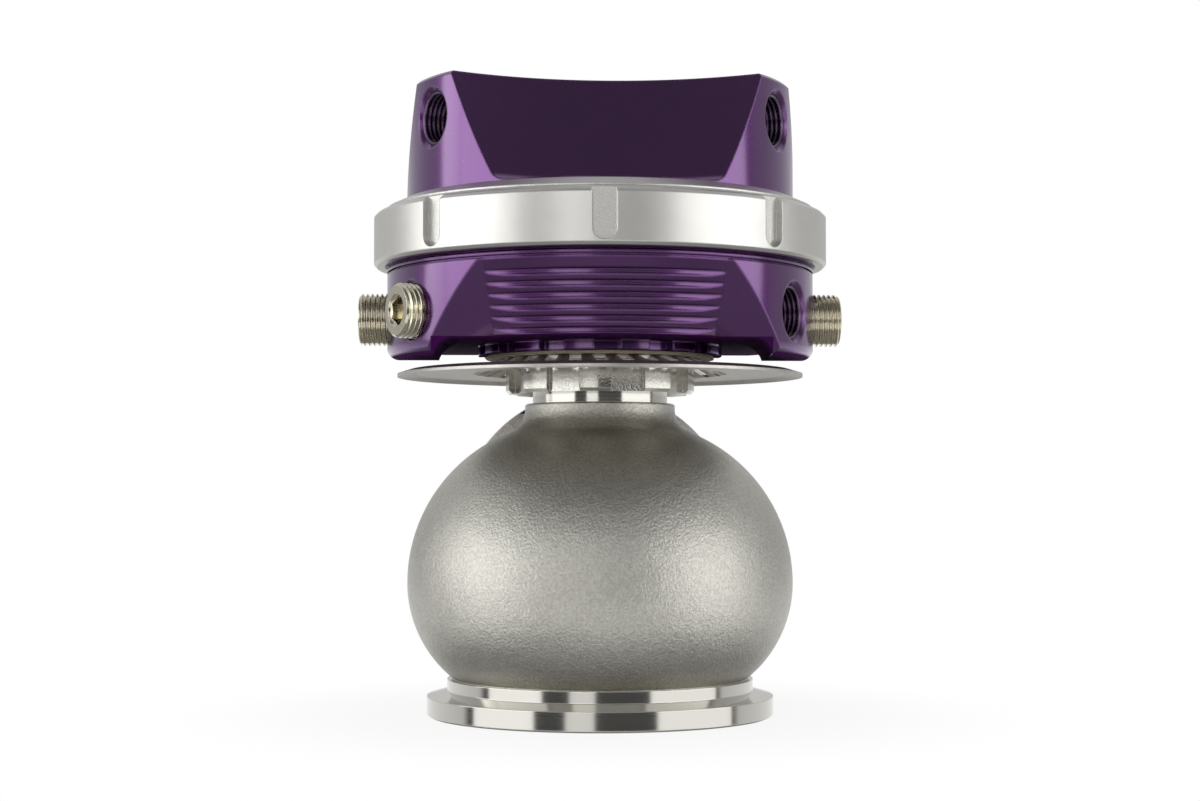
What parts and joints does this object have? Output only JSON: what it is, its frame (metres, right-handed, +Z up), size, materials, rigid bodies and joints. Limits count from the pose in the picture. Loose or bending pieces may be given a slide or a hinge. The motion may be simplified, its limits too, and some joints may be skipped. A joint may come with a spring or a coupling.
{
  "type": "turbo wastegate",
  "caption": "External wastegate: a poppet valve in a ball-shaped cast body with V-band inlet and outlet, under a three-lobed spring and diaphragm actuator.",
  "frame": {"origin": "on the valve's axis, in the plane of the inlet flange's face", "axes": "+Z up along the valve's stem toward the cap, +Y out of the outlet"},
  "size_m": [0.0937, 0.0949, 0.1207],
  "materials": {
    "cast_stainless": "investment-cast stainless steel, fine blasted grain",
    "machined_stainless": "turned stainless steel",
    "valve_steel": "ground heat-resisting steel",
    "guide_bronze": "turned bronze",
    "seal_carbon": "moulded high-temperature seal",
    "anodised_purple": "machined aluminium, purple anodised",
    "satin_aluminium": "bead-blasted aluminium",
    "plate_aluminium": "turned aluminium",
    "shield_steel": "bright pressed stainless sheet",
    "insulator_fibre": "hard fibre sheet",
    "plug_nickel": "nickel-plated steel",
    "diaphragm_silicone": "fabric-reinforced silicone rubber",
    "spring_steel": "oil-tempered spring wire",
    "zinc_steel": "zinc-plated steel"
  },
  "bodies": {
    "root": {"valve_body": "cast_stainless", "valve_seat": "valve_steel", "valve_guide": "guide_bronze", "stem_seal": "seal_carbon", "seal_retainer": "machined_stainless", "lock_nut": "machined_stainless", "heat_shield": "shield_steel", "insulator_washer": "insulator_fibre", "lower_housing": "anodised_purple", "port_plug_left_front": "plug_nickel", "port_plug_left_rear": "plug_nickel", "port_plug_right_rear": "plug_nickel", "diaphragm": "diaphragm_silicone", "outer_spring": "spring_steel", "middle_spring": "spring_steel", "inner_spring": "spring_steel", "cap": "anodised_purple", "collar": "satin_aluminium"},
    "valve": {"valve": "valve_steel", "piston": "plate_aluminium", "spring_cup": "zinc_steel", "stem_washer": "zinc_steel", "stem_nut": "zinc_steel"}
  },
  "joints": [
    {"name": "valve_lift", "type": "slide", "parent": "root", "child": "valve", "axis": [0, 0, 1], "range_m": [0, 0.01], "stiffness_N_per_m": 9000, "springref_m": -0.02, "deforming": ["outer_spring", "middle_spring", "inner_spring", "diaphragm"]}
  ]
}
